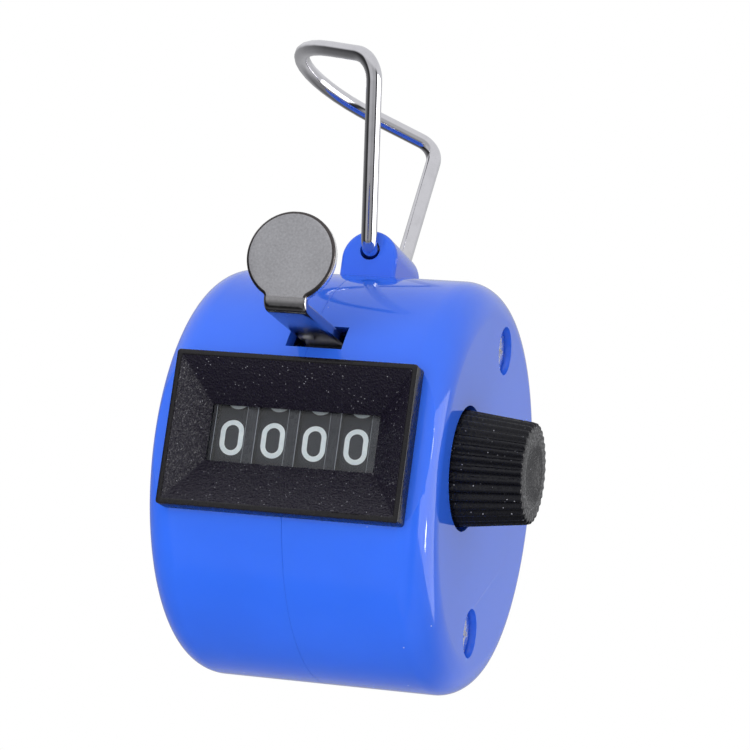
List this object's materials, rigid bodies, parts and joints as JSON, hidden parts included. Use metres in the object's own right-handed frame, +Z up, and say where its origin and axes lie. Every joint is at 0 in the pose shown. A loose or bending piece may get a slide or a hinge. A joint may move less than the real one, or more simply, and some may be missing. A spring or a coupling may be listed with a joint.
{
  "type": "hand tally counter",
  "caption": "Drum-shaped hand tally counter with number wheels behind a framed window, a thumb lever, a fluted reset knob and a wire finger ring.",
  "frame": {"origin": "centre of the flat left end face, on the drum axis", "axes": "+X along the drum axis towards the reset knob, -Y out of the window, +Z up towards the finger ring"},
  "size_m": [0.038, 0.0527, 0.0693],
  "materials": {
    "case_blue": "glossy injection-moulded blue",
    "bezel_black": "spark-textured black, satin",
    "knob_black": "fluted black, satin",
    "comb_black": "dark mask behind the window",
    "lens_clear": "clear flat window",
    "wheel_grey": "dark grey with white digits",
    "gear_white": "natural acetal gears",
    "lever_nickel": "satin nickel with bright pressed edges",
    "ring_chrome": "bright nickel-chrome wire",
    "screw_steel": "bright plated screw",
    "inner_steel": "plain zinc-plated steel",
    "spring_steel": "spring wire and strip"
  },
  "bodies": {
    "case": {"left_shell": "case_blue", "right_shell": "case_blue", "bezel": "bezel_black", "window_lens": "lens_clear", "digit_comb": "comb_black", "case_screw_top": "screw_steel", "case_screw_bottom": "screw_steel", "frame_plate_left": "inner_steel", "frame_plate_right": "inner_steel", "frame_spacer_upper": "inner_steel", "frame_spacer_lower": "inner_steel", "pinion_shaft": "inner_steel", "lever_pivot_pin": "inner_steel", "lever_return_spring": "spring_steel", "detent_spring": "spring_steel"},
    "reset_shaft": {"reset_knob": "knob_black", "wheel_axle": "inner_steel", "axle_clip": "inner_steel", "axle_washer": "inner_steel"},
    "thousands_wheel": {"number_wheel_thousands": "wheel_grey"},
    "hundreds_wheel": {"number_wheel_hundreds": "wheel_grey"},
    "tens_wheel": {"number_wheel_tens": "wheel_grey"},
    "units_wheel": {"number_wheel_units": "wheel_grey", "ratchet_wheel": "gear_white"},
    "pinion_1": {"carry_pinion_1": "gear_white"},
    "pinion_2": {"carry_pinion_2": "gear_white"},
    "pinion_3": {"carry_pinion_3": "gear_white"},
    "lever": {"thumb_lever": "lever_nickel", "pawl_rivet": "inner_steel"},
    "pawl": {"drive_pawl": "inner_steel"},
    "ring": {"finger_ring": "ring_chrome"}
  },
  "joints": [
    {"name": "lever_press", "type": "hinge", "parent": "case", "child": "lever", "pos_m": [0.0154, -0.0146, 0.0098], "axis": [1, 0, 0], "range_deg": [0, 11], "stiffness_Nm_per_rad": 0.02, "springref_deg": -8.59},
    {"name": "drive_pawl_swing", "type": "hinge", "parent": "lever", "child": "pawl", "pos_m": [0.0235, -0.0144, 0.0046], "axis": [1, 0, 0], "range_deg": [0, 17]},
    {"name": "knob_turn", "type": "hinge", "parent": "case", "child": "reset_shaft", "pos_m": [0.0154, -0.0096, 0.0004], "axis": [1, 0, 0], "continuous": true},
    {"name": "ring_swing", "type": "hinge", "parent": "case", "child": "ring", "pos_m": [0.0157, 0, 0.0244], "axis": [0, 1, 0], "range_deg": [-90, 90]},
    {"name": "thousands_wheel_turn", "type": "hinge", "parent": "case", "child": "thousands_wheel", "pos_m": [0.0154, -0.0096, 0.0004], "axis": [1, 0, 0], "continuous": true},
    {"name": "hundreds_wheel_turn", "type": "hinge", "parent": "case", "child": "hundreds_wheel", "pos_m": [0.0154, -0.0096, 0.0004], "axis": [1, 0, 0], "continuous": true},
    {"name": "tens_wheel_turn", "type": "hinge", "parent": "case", "child": "tens_wheel", "pos_m": [0.0154, -0.0096, 0.0004], "axis": [1, 0, 0], "continuous": true},
    {"name": "units_wheel_turn", "type": "hinge", "parent": "case", "child": "units_wheel", "pos_m": [0.0154, -0.0096, 0.0004], "axis": [1, 0, 0], "continuous": true},
    {"name": "pinion_1_turn", "type": "hinge", "parent": "case", "child": "pinion_1", "pos_m": [0.0154, -0.00064, 0.0004], "axis": [1, 0, 0], "continuous": true},
    {"name": "pinion_2_turn", "type": "hinge", "parent": "case", "child": "pinion_2", "pos_m": [0.0154, -0.00064, 0.0004], "axis": [1, 0, 0], "continuous": true},
    {"name": "pinion_3_turn", "type": "hinge", "parent": "case", "child": "pinion_3", "pos_m": [0.0154, -0.00064, 0.0004], "axis": [1, 0, 0], "continuous": true}
  ],
  "couplings": [
    {"joint": "drive_pawl_swing", "follows": "lever_press", "ratio": 1.5},
    {"joint": "thousands_wheel_turn", "follows": "knob_turn", "ratio": 1},
    {"joint": "hundreds_wheel_turn", "follows": "knob_turn", "ratio": 1},
    {"joint": "tens_wheel_turn", "follows": "knob_turn", "ratio": 1},
    {"joint": "units_wheel_turn", "follows": "knob_turn", "ratio": 1},
    {"joint": "pinion_1_turn", "follows": "knob_turn", "ratio": -2.5},
    {"joint": "pinion_2_turn", "follows": "knob_turn", "ratio": -2.5},
    {"joint": "pinion_3_turn", "follows": "knob_turn", "ratio": -2.5}
  ]
}
